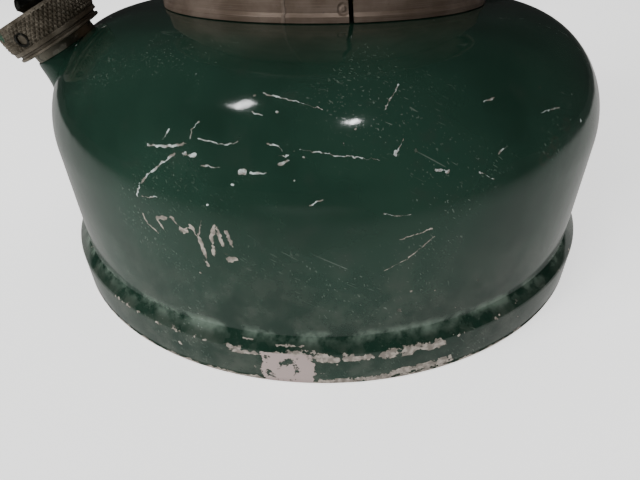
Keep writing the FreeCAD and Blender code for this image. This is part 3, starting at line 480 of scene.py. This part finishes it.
def soften(profile, size, closed=True):
    # Rounds the corners of a (radius, height) outline.
    count = len(profile)
    made = []
    for k, corner in enumerate(profile):
        if not closed and k in (0, count - 1):
            made.append(corner)
            continue
        here = Vector(corner)
        before = Vector(profile[k - 1]) - here
        after = Vector(profile[(k + 1) % count]) - here
        reach = min(size, before.length * 0.45, after.length * 0.45)
        start = here + before.normalized() * reach
        end = here + after.normalized() * reach
        for share in (0.0, 0.5, 1.0):
            made.append(tuple(start.lerp(here, share).lerp(here.lerp(end, share), share)))
    return made


def lathe(name, profile, steps=160, closed=True, sharp=32):
    # Turns a (radius, height) outline in mm about Z; the outline goes up on its outside.
    points, rows, faces = [], [], []
    for radius, height in profile:
        if radius < 1e-6:
            rows.append([len(points)] * steps)
            points.append((0, 0, height * mm))
            continue
        rows.append(list(range(len(points), len(points) + steps)))
        for k in range(steps):
            turn = 2 * math.pi * k / steps
            points.append((radius * mm * math.cos(turn), radius * mm * math.sin(turn), height * mm))
    pairs = list(zip(rows, rows[1:]))
    if closed:
        pairs.append((rows[-1], rows[0]))
    for low, high in pairs:
        for k in range(steps):
            after = (k + 1) % steps
            face = list(dict.fromkeys([low[k], low[after], high[after], high[k]]))
            if len(face) > 2:
                faces.append(face)
    mesh = bpy.data.meshes.new(name)
    mesh.from_pydata(points, [], faces)
    finishShading(mesh, sharp)
    return mesh


def finishShading(mesh, sharp):
    mesh.polygons.foreach_set("use_smooth", [True] * len(mesh.polygons))
    mesh.set_sharp_from_angle(angle=math.radians(sharp))
    mesh.update()


def leaning(base, turn, tilt):
    # Takes a mesh built along Z to an axis through base that leans by tilt towards turn.
    rotation = Matrix.Rotation(math.radians(turn), 4, "Z") @ Matrix.Rotation(math.radians(tilt), 4, "Y")
    return Matrix.Translation(Vector(base) * mm) @ rotation


def onShoulder(lean, turn):
    # A point in mm on the tank's round shoulder, lean degrees up its arc.
    radius = shoulderCentre + shoulderRadius * math.cos(math.radians(lean))
    rise = shoulderZ + shoulderRadius * math.sin(math.radians(lean))
    return (radius * math.cos(math.radians(turn)), radius * math.sin(math.radians(turn)), rise)


fillerSeat = leaning(onShoulder(44.8, 17), 17, 27)
pumpSeat = leaning(onShoulder(38, 220), 220, 52)


def newTree(name, inputs):
    # A tree with named inputs, given as (name, socket kind, default).
    tree = bpy.data.node_groups.new(name, "GeometryNodeTree")
    tree.interface.new_socket("Geometry", in_out="INPUT", socket_type="NodeSocketGeometry")
    for label, kind, value in inputs:
        socket = tree.interface.new_socket(label, in_out="INPUT", socket_type="NodeSocket" + kind)
        if value is not None:
            socket.default_value = value
    tree.interface.new_socket("Geometry", in_out="OUTPUT", socket_type="NodeSocketGeometry")
    return tree, put(tree, "NodeGroupInput").outputs


def endTree(tree, instances, material):
    real = put(tree, "GeometryNodeRealizeInstances", {0: instances})
    painted = put(tree, "GeometryNodeSetMaterial", {"Geometry": real.outputs[0], "Material": material})
    put(tree, "NodeGroupOutput", {0: painted.outputs[0]})


def grow(name, tree, values):
    # Runs a tree on an empty mesh and returns the plain mesh that it makes.
    holder = bpy.data.objects.new(name + "Source", bpy.data.meshes.new(name + "Source"))
    scene.collection.objects.link(holder)
    modifier = holder.modifiers.new("grow", "NODES")
    modifier.node_group = tree
    for item in tree.interface.items_tree:
        if item.in_out == "INPUT" and item.name in values:
            modifier[item.identifier] = values[item.name]
    graph = bpy.context.evaluated_depsgraph_get()
    mesh = bpy.data.meshes.new_from_object(holder.evaluated_get(graph))
    holder.modifiers.clear()
    bpy.data.objects.remove(holder)
    mesh.name = name
    return mesh


def knurlTree():
    # Rows of blunt diamonds on a cylinder, left out around one point.
    tree, given = newTree("diamondKnurl", [
        ("Count", "Int", 60), ("Rows", "Int", 7), ("Radius", "Float", 0.012), ("Low", "Float", 0.0),
        ("Pitch", "Float", 0.001), ("Width", "Float", 0.0006), ("Tall", "Float", 0.0008),
        ("Depth", "Float", 0.0005), ("Gap Centre", "Vector", None), ("Gap", "Float", 0.0),
        ("Seed", "Int", 3), ("Material", "Material", None)])
    index = put(tree, "GeometryNodeInputIndex").outputs[0]
    total = calc(tree, "MULTIPLY", given["Count"], given["Rows"])
    column = calc(tree, "MODULO", index, given["Count"])
    row = calc(tree, "FLOOR", calc(tree, "DIVIDE", calc(tree, "ADD", index, 0.5), given["Count"]))
    shifted = calc(tree, "ADD", column, times(tree, calc(tree, "MODULO", row, 2.0), 0.5))
    turn = calc(tree, "DIVIDE", times(tree, shifted, 2 * math.pi), given["Count"])
    spot = put(tree, "ShaderNodeCombineXYZ", {
        0: calc(tree, "MULTIPLY", calc(tree, "COSINE", turn), given["Radius"]),
        1: calc(tree, "MULTIPLY", calc(tree, "SINE", turn), given["Radius"]),
        2: calc(tree, "ADD", calc(tree, "MULTIPLY", row, given["Pitch"]), given["Low"])}).outputs[0]
    points = put(tree, "GeometryNodePoints", {"Count": total, "Position": spot}).outputs[0]
    there = put(tree, "GeometryNodeInputPosition").outputs[0]
    off = vector(tree, "DISTANCE", there, given["Gap Centre"], "Value")
    near = put(tree, "FunctionNodeCompare", {0: off, 1: given["Gap"]},
               data_type="FLOAT", operation="LESS_THAN").outputs[0]
    points = put(tree, "GeometryNodeDeleteGeometry", {0: points, 1: near}, domain="POINT").outputs[0]
    stud = put(tree, "GeometryNodeMeshCone", {"Vertices": 4, "Radius Top": 0.22, "Radius Bottom": 1.0,
                                              "Depth": 1.0}).outputs[0]
    split = put(tree, "ShaderNodeSeparateXYZ", {0: there})
    facing = calc(tree, "ARCTAN2", split.outputs[1], split.outputs[0])
    angles = put(tree, "ShaderNodeCombineXYZ", {0: 0.0, 1: math.pi / 2, 2: facing}).outputs[0]
    rotation = put(tree, "FunctionNodeEulerToRotation", {0: angles}).outputs[0]
    uneven = put(tree, "FunctionNodeRandomValue", {2: 0.72, 3: 1.0, "Seed": given["Seed"]},
                 data_type="FLOAT").outputs[1]
    size = put(tree, "ShaderNodeCombineXYZ", {0: given["Tall"], 1: given["Width"],
                                              2: calc(tree, "MULTIPLY", given["Depth"], uneven)}).outputs[0]
    studs = put(tree, "GeometryNodeInstanceOnPoints", {"Points": points, "Instance": stud,
                                                       "Rotation": rotation, "Scale": size}).outputs[0]
    endTree(tree, studs, given["Material"])
    return tree


def tankShell():
    # The fount's outline: hemmed foot ring, ledge, wall, round shoulder, arched crown and its inner face.
    t = tankSizes
    sweep = math.radians(t["sweep"])
    inner = t["shoulder"] - t["sheet"]

    def shoulderPoint(radius, lean):
        return (shoulderCentre + radius * math.cos(lean), shoulderZ + radius * math.sin(lean))

    edge = shoulderPoint(t["shoulder"], sweep)
    slope = math.tan(math.radians(90 - t["sweep"]))
    crown = edge[1] + (edge[0] - t["flat"]) * slope
    outside = [(t["foot"], t["corner"]), (t["foot"], t["footHeight"]),
               (t["wall"], t["footHeight"] + t["flare"])]
    outside = soften(outside, 0.5, closed=False)
    arc = [shoulderPoint(t["shoulder"], sweep * k / 36) for k in range(37)]
    ceiling = crown - t["sheet"]
    top = [(t["flat"], crown), (t["hole"], crown), (t["hole"], ceiling), (t["flat"], ceiling)]
    back = [shoulderPoint(inner, sweep * k / 18) for k in range(18, -1, -1)]
    lap = t["sheet"] * (math.sqrt(2) - 1)
    footInner = t["foot"] - t["sheet"]
    hemInner = t["foot"] - t["hemWidth"]
    low = [(t["wall"] - t["sheet"], t["footHeight"] + t["flare"] - lap), (footInner, t["footHeight"] - lap),
           (footInner, t["hem"]), (hemInner, t["hem"]), (hemInner, 0), (t["foot"] - t["corner"], 0)]
    return lathe("tankShell", outside + arc + top + back + low, t["steps"], sharp=40)


addPiece("tankShell", tankShell(), materials["green_enamel"], "tank", ["tank_shell"])
print("stage: tank")


capSizes = dict(count=60, rows=7, radius=12.42, low=6.55, pitch=0.76, width=0.66, tall=0.80, depth=0.52,
                ventTurn=66, ventHeight=7.88)


def capFinish():
    # The worn nickel of the cap, with a scrap of green enamel left at its edge.
    material = worn("capNickel", dict(
        metalLooks["aged_nickel"], low=(0.060, 0.050, 0.035, 1), high=(0.145, 0.125, 0.096, 1),
        cloudScale=200, stainScale=500, stain=0.6, pitScale=1600, metal=0.6))
    tree = material.node_tree
    shader = tree.nodes["Principled BSDF"]
    where = place(tree)
    centre = fillerSeat @ Vector((0.0090, 0.0064, 0.0117))
    off = vector(tree, "DISTANCE", where, centre, "Value")
    off = calc(tree, "ADD", off, times(tree, calc(tree, "SUBTRACT", grain(tree, where, 420, 3), 0.5), 0.0045))
    paint = ramp(tree, off, 0.0026, 0.0021)
    base = shader.inputs["Base Color"]
    feed(tree, base, tint(tree, paint, base.links[0].from_socket, (0.010, 0.045, 0.024, 1)))
    metal = shader.inputs["Metallic"]
    feed(tree, metal, times(tree, metal.links[0].from_socket, calc(tree, "SUBTRACT", 1.0, paint)))
    return material


capMaterial = capFinish()
capOutline = [(9.5, 3.25), (11.9, 3.25), (12.15, 3.45), (12.15, 3.95), (11.55, 4.1), (11.55, 4.6),
              (12.5, 4.8), (12.5, 5.75), (12.25, 5.95), (12.42, 6.15), (12.42, 11.25), (12.75, 11.4),
              (11.75, 12.2), (11.1, 12.2),
              (10.6, 11.9), (4.9, 11.9), (2.1, 11.9), (2.1, 9.7), (9.5, 9.7)]
capMesh = lathe("capBody", soften(capOutline, 0.16), 192)
capMesh.transform(fillerSeat)
addPiece("capBody", capMesh, capMaterial, "filler_cap", ["cap_shell"])

ventTurn = math.radians(capSizes["ventTurn"])
ventCentre = Vector((13.0 * math.cos(ventTurn), 13.0 * math.sin(ventTurn), capSizes["ventHeight"])) * mm
knurl = knurlTree()
knurlMesh = grow("capKnurl", knurl, {
    "Count": capSizes["count"], "Rows": capSizes["rows"], "Radius": capSizes["radius"] * mm,
    "Low": capSizes["low"] * mm, "Pitch": capSizes["pitch"] * mm, "Width": capSizes["width"] * mm,
    "Tall": capSizes["tall"] * mm, "Depth": capSizes["depth"] * mm, "Gap Centre": ventCentre,
    "Gap": 1.75 * mm, "Seed": 4, "Material": capMaterial})
knurlMesh.transform(fillerSeat)
addPiece("capKnurl", knurlMesh, capMaterial, "filler_cap", ())

# Solder fillets between the two fittings and the tank, under the same enamel.
fillets = {
    "fillerFillet": (fillerSeat, [(8.9, -9.2), (12.8, -9.4), (11.6, -7.2), (10.6, -5), (10, -2.5),
                                  (9.6, 0.2), (9.3, 1.2), (8.9, 1.2)]),
    "pumpFillet": (pumpSeat, [(11.6, -6.5), (18, -6.5), (17.3, -4.9), (14.9, -2.0), (13.2, 0.1),
                              (12.8, 0.6), (11.6, 0.6)]),
}
for filletName, (seat, outline) in fillets.items():
    filletMesh = lathe(filletName, soften(outline, 0.8), 128, sharp=50)
    filletMesh.transform(seat)
    addPiece(filletName, filletMesh, materials["green_enamel"], "tank", ())

# The vent: a short sunk tube in the cap's side, given the near-black screw finish as painted shade for the
# dark inside of the hole.
ventOutline = [(0.0, -2.2), (1.5, -2.2), (1.75, -2.0), (1.75, 0.0), (1.35, 0.0), (1.2, -0.25),
               (1.2, -1.7), (0.0, -1.7)]
ventMesh = lathe("capVent", ventOutline, 40, closed=False)
ventMesh.transform(fillerSeat @ Matrix.Translation(Vector((0, 0, capSizes["ventHeight"] * mm)))
                   @ Matrix.Rotation(ventTurn, 4, "Z") @ Matrix.Rotation(math.pi / 2, 4, "Y")
                   @ Matrix.Translation(Vector((0, 0, 0.01285))))
addPiece("capVent", ventMesh, materials["dark_screw"], "filler_cap", ())

# Knurl on the pump's cap.
pumpKnurl = grow("pumpKnurl", knurl, {
    "Count": 56, "Rows": 5, "Radius": 13.02 * mm, "Low": 2.4 * mm, "Pitch": 0.85 * mm, "Width": 0.72 * mm,
    "Tall": 0.86 * mm, "Depth": 0.42 * mm, "Gap Centre": (0, 0, 0), "Gap": 0.0, "Seed": 9,
    "Material": materials["aged_nickel"]})
pumpKnurl.transform(pumpSeat)
addPiece("pumpKnurl", pumpKnurl, materials["aged_nickel"], "tank", ())
print("stage: caps")


# Sizes in mm, and the cloth of one mantle in square metres.
mantleSizes = dict(bottom=152.4, offset=27.0, cloth=0.35, steps=192, gathers=26, area=0.0062)


def mantleMesh(name, side, seed):
    # A knitted sock: round below, gathered in folds where it is tied round the burner cap.
    pick = random.Random(seed)
    phase = [pick.uniform(0, 6.28) for _ in range(6)]
    curve = [(0.0, 0.0), (3.0, 0.25), (6.5, 1.3), (10.0, 3.4), (13.2, 6.8), (16.0, 11.6), (17.9, 17.5),
             (18.6, 24.0), (18.5, 30.0), (17.6, 36.5), (16.0, 42.5), (13.9, 47.5), (11.8, 51.0),
             (10.3, 53.4), (9.55, 55.6), (9.3, 57.3), (9.5, 58.6), (9.9, 59.6)]
    steps = mantleSizes["steps"]
    fine = []
    for k in range(len(curve) - 1):
        for share in (0, 0.25, 0.5, 0.75):
            before = curve[max(0, k - 1)]
            start, end = curve[k], curve[k + 1]
            later = curve[min(len(curve) - 1, k + 2)]
            spot = []
            for axis in (0, 1):
                p0, p1, p2, p3 = before[axis], start[axis], end[axis], later[axis]
                spot.append(0.5 * (2 * p1 + (p2 - p0) * share + (2 * p0 - 5 * p1 + 4 * p2 - p3) * share ** 2
                                   + (3 * p1 - p0 - 3 * p2 + p3) * share ** 3))
            fine.append((max(0.0, spot[0]), spot[1]))
    fine.append(curve[-1])
    points, faces, around = [], [], []
    along = 0.0
    rows = []
    for k, (radius, height) in enumerate(fine):
        if k:
            along += math.dist(fine[k - 1], fine[k])
        share = height / 60
        row = []
        for j in range(steps):
            turn = 2 * math.pi * j / steps
            fold = math.cos(mantleSizes["gathers"] * turn + phase[0]) * 0.5
            fold += math.cos(17 * turn + phase[1]) * 0.3
            sag = math.cos(3 * turn + phase[2]) * 0.35 + math.cos(5 * turn + phase[3]) * 0.2
            swell = fold * 0.55 * max(0.0, share - 0.55) / 0.45
            swell += sag * math.sin(math.pi * min(1, share * 1.3)) * 0.8
            reach = max(0.0, radius + (swell if radius > 2 else 0))
            row.append(len(points))
            points.append((reach * math.cos(turn) + side * mantleSizes["offset"], reach * math.sin(turn),
                           mantleSizes["bottom"] + height))
            around.append((turn * 0.018, along * mm))
        rows.append(row)
    for low, high in zip(rows[1:], rows[2:]):
        for j in range(steps):
            after = (j + 1) % steps
            faces.append((low[j], low[after], high[after], high[j]))
    cap = rows[1][::-1]
    faces.append(tuple(cap))
    mesh = bpy.data.meshes.new(name)
    mesh.from_pydata([Vector(p) * mm for p in points], [], faces)
    layer = mesh.uv_layers.new(name="cloth")
    for face in mesh.polygons:
        spots = [around[mesh.loops[i].vertex_index] for i in face.loop_indices]
        wide = max(s[0] for s in spots) > 0.1 and min(s[0] for s in spots) < 0.01
        for i, spot in zip(face.loop_indices, spots):
            shift = 2 * math.pi * 0.018 if wide and spot[0] < 0.01 else 0.0
            layer.data[i].uv = (spot[0] + shift, spot[1])
    mesh.validate()
    bm = bmesh.new()
    bm.from_mesh(mesh)
    bmesh.ops.delete(bm, geom=[v for v in bm.verts if not v.link_faces], context="VERTS")
    bm.to_mesh(mesh)
    bm.free()
    finishShading(mesh, 60)
    return mesh


for side, label, seed in ((-1, "left", 5), (1, "right", 8)):
    mesh = mantleMesh("mantle" + label.capitalize(), side, seed)
    piece = addPiece("mantle" + label.capitalize(), mesh, materials["mantle_cloth"], "tank",
                     ["mantle_" + label])
    solid = piece.modifiers.new("cloth", "SOLIDIFY")
    solid.thickness = mantleSizes["cloth"] * mm
    solid.offset = -1
print("stage: mantles")


def plainMaterial(name, colour, roughness):
    material, tree, shader = newMaterial(name, Roughness=roughness)
    shade = ramp(tree, grain(tree, place(tree), 6, 3), 0.3, 0.7)
    darker = tuple(value * 0.985 for value in colour[:3]) + (1,)
    feed(tree, shader.inputs["Base Color"], tint(tree, shade, darker, colour))
    return material


def flatRing(name, centre, inner, outer, height, steps=96):
    points, faces = [], []
    for k in range(steps):
        turn = 2 * math.pi * k / steps
        for radius in (inner, outer):
            points.append((centre[0] + radius * math.cos(turn), centre[1] + radius * math.sin(turn), height))
    for k in range(steps):
        after = (k + 1) % steps
        faces.append((2 * k, 2 * k + 1, 2 * after + 1, 2 * after))
    mesh = bpy.data.meshes.new(name)
    mesh.from_pydata(points, [], faces)
    return mesh


floorReach = 5
floorLevel = -0.0001
floorCorners = [(x * floorReach, y * floorReach, floorLevel) for x, y in ((-1, -1), (1, -1), (1, 1), (-1, 1))]
floorMesh = bpy.data.meshes.new("floor")
floorMesh.from_pydata(floorCorners, [], [(0, 1, 2, 3)])
floor = bpy.data.objects.new("floor", floorMesh)
scene.collection.objects.link(floor)
floorPaper = plainMaterial("floorPaper", (0.86, 0.86, 0.855, 1), 0.8)
paperShader = floorPaper.node_tree.nodes["Principled BSDF"]
paperShader.inputs["Emission Color"].default_value = (1, 1, 0.995, 1)
paperShader.inputs["Emission Strength"].default_value = 0.98
dress(floor, floorPaper)
floor.visible_glossy = False

# What the enamel mirrors: a pale sheet that ends not far behind the lantern, then a dark room.
roomSizes = dict(hole=0.02, reach=4.5, height=0.0015, sheetCentre=(0, -0.25), sheetEdge=(0.34, 0.45),
                 sheetGlow=0.50, darkGlow=0.045, sheenCentre=(0.03, 0.24), sheenReach=0.10, sheenGlow=0.30)
roomMesh = flatRing("mirroredRoom", (0, 0), roomSizes["hole"], roomSizes["reach"], roomSizes["height"])
room = bpy.data.objects.new("mirroredRoom", roomMesh)
scene.collection.objects.link(room)
roomLook, roomTree, roomShader = newMaterial("roomGlow", Roughness=1.0, **{"Base Color": (0, 0, 0, 1)})
spread = vector(roomTree, "MULTIPLY", place(roomTree), (0.82, 1, 1))
sheetCentre = roomSizes["sheetCentre"] + (roomSizes["height"],)
sheenCentre = roomSizes["sheenCentre"] + (roomSizes["height"],)
reachOut = vector(roomTree, "DISTANCE", spread, sheetCentre, "Value")
sheen = vector(roomTree, "DISTANCE", place(roomTree), sheenCentre, "Value")
sheen = ramp(roomTree, sheen, roomSizes["sheenReach"], 0.0, 0, roomSizes["sheenGlow"])
feed(roomTree, roomShader.inputs["Emission Color"], (1, 0.99, 0.96, 1))
glow = ramp(roomTree, reachOut, *roomSizes["sheetEdge"], roomSizes["sheetGlow"], roomSizes["darkGlow"])
glow = calc(roomTree, "ADD", glow, sheen)
feed(roomTree, roomShader.inputs["Emission Strength"], glow)
dress(room, roomLook)
for rayKind in ("camera", "diffuse", "shadow", "transmission", "volume_scatter"):
    setattr(room, "visible_" + rayKind, False)

world = bpy.data.worlds.new("studio")
scene.world = world
world.use_nodes = True
sky = world.node_tree
sky.nodes.clear()
ray = put(sky, "ShaderNodeLightPath")
level = put(sky, "ShaderNodeMix", {0: ray.outputs["Is Glossy Ray"], 2: 0.36, 3: 0.022},
            data_type="FLOAT").outputs[0]
level = put(sky, "ShaderNodeMix", {0: ray.outputs["Is Camera Ray"], 2: level, 3: 0.93},
            data_type="FLOAT").outputs[0]
backdrop = put(sky, "ShaderNodeBackground", {"Color": (1, 0.995, 0.985, 1), "Strength": level})
put(sky, "ShaderNodeOutputWorld", {0: backdrop.outputs[0]})


def lamp(name, target, direction, distance, size, power, roll=0.0, glossy=True, colour=(1, 1, 1)):
    # A soft rectangular lamp that faces a target from a direction.
    data = bpy.data.lights.new(name, "AREA")
    data.shape = "RECTANGLE"
    data.size, data.size_y = size
    data.energy = power
    data.color = colour
    made = bpy.data.objects.new(name, data)
    scene.collection.objects.link(made)
    way = Vector(direction).normalized()
    made.location = Vector(target) + way * distance
    turn = (-way).to_track_quat("-Z", "Y").to_matrix().to_4x4() @ Matrix.Rotation(math.radians(roll), 4, "Z")
    made.rotation_euler = turn.to_euler()
    made.visible_glossy = glossy
    made.visible_camera = False
    return made


lamp("windowTall", (0.0156, 0.0728, 0.0629), (0.426, 0.234, 0.874), 1.2, (0.17, 0.08), 1.5, roll=90)
lamp("windowSmall", (-0.0047, 0.0765, 0.0607), (-0.146, 0.532, 0.834), 1.2, (0.09, 0.065), 1.2, roll=30)
lamp("fillTop", (0, 0, 0.1), (0.1, 0.25, 1), 1.7, (2.2, 2.2), 6, glossy=False)
lamp("fillSide", (0, 0, 0.06), (1.0, 0.75, 0.42), 1.6, (1.0, 0.8), 34, glossy=False)
lamp("fillCamera", (0, 0, 0.1), (0.1, 1.0, 0.35), 1.8, (1.2, 1.0), 8, glossy=False)
lamp("fillFront", (0, 0, 0.15), (-0.5, -1.0, 0.45), 1.8, (1.4, 1.2), 10, glossy=False)

# The camera looks from behind and above, towards -Y.
view = dict(pitch=32.6, roll=0.65, lens=25.54, sensor=36, shift=(-0.0112, -0.0269),
            place=(0, 0.1557, 0.08975))
pitch = math.radians(view["pitch"])
roll = math.radians(view["roll"])
right = Vector((-1, 0, 0))
ahead = Vector((0, -math.cos(pitch), -math.sin(pitch)))
upward = right.cross(ahead)
across = math.cos(roll) * right - math.sin(roll) * upward
rise = math.sin(roll) * right + math.cos(roll) * upward
cameraData = bpy.data.cameras.new("camera")
cameraData.lens = view["lens"]
cameraData.sensor_width = view["sensor"]
cameraData.shift_x, cameraData.shift_y = view["shift"]
cameraData.clip_start = 0.01
camera = bpy.data.objects.new("camera", cameraData)
scene.collection.objects.link(camera)
camera.matrix_world = Matrix((
    (across.x, rise.x, -ahead.x, view["place"][0]),
    (across.y, rise.y, -ahead.y, view["place"][1]),
    (across.z, rise.z, -ahead.z, view["place"][2]),
    (0, 0, 0, 1)))
scene.camera = camera
print("stage: light and camera")
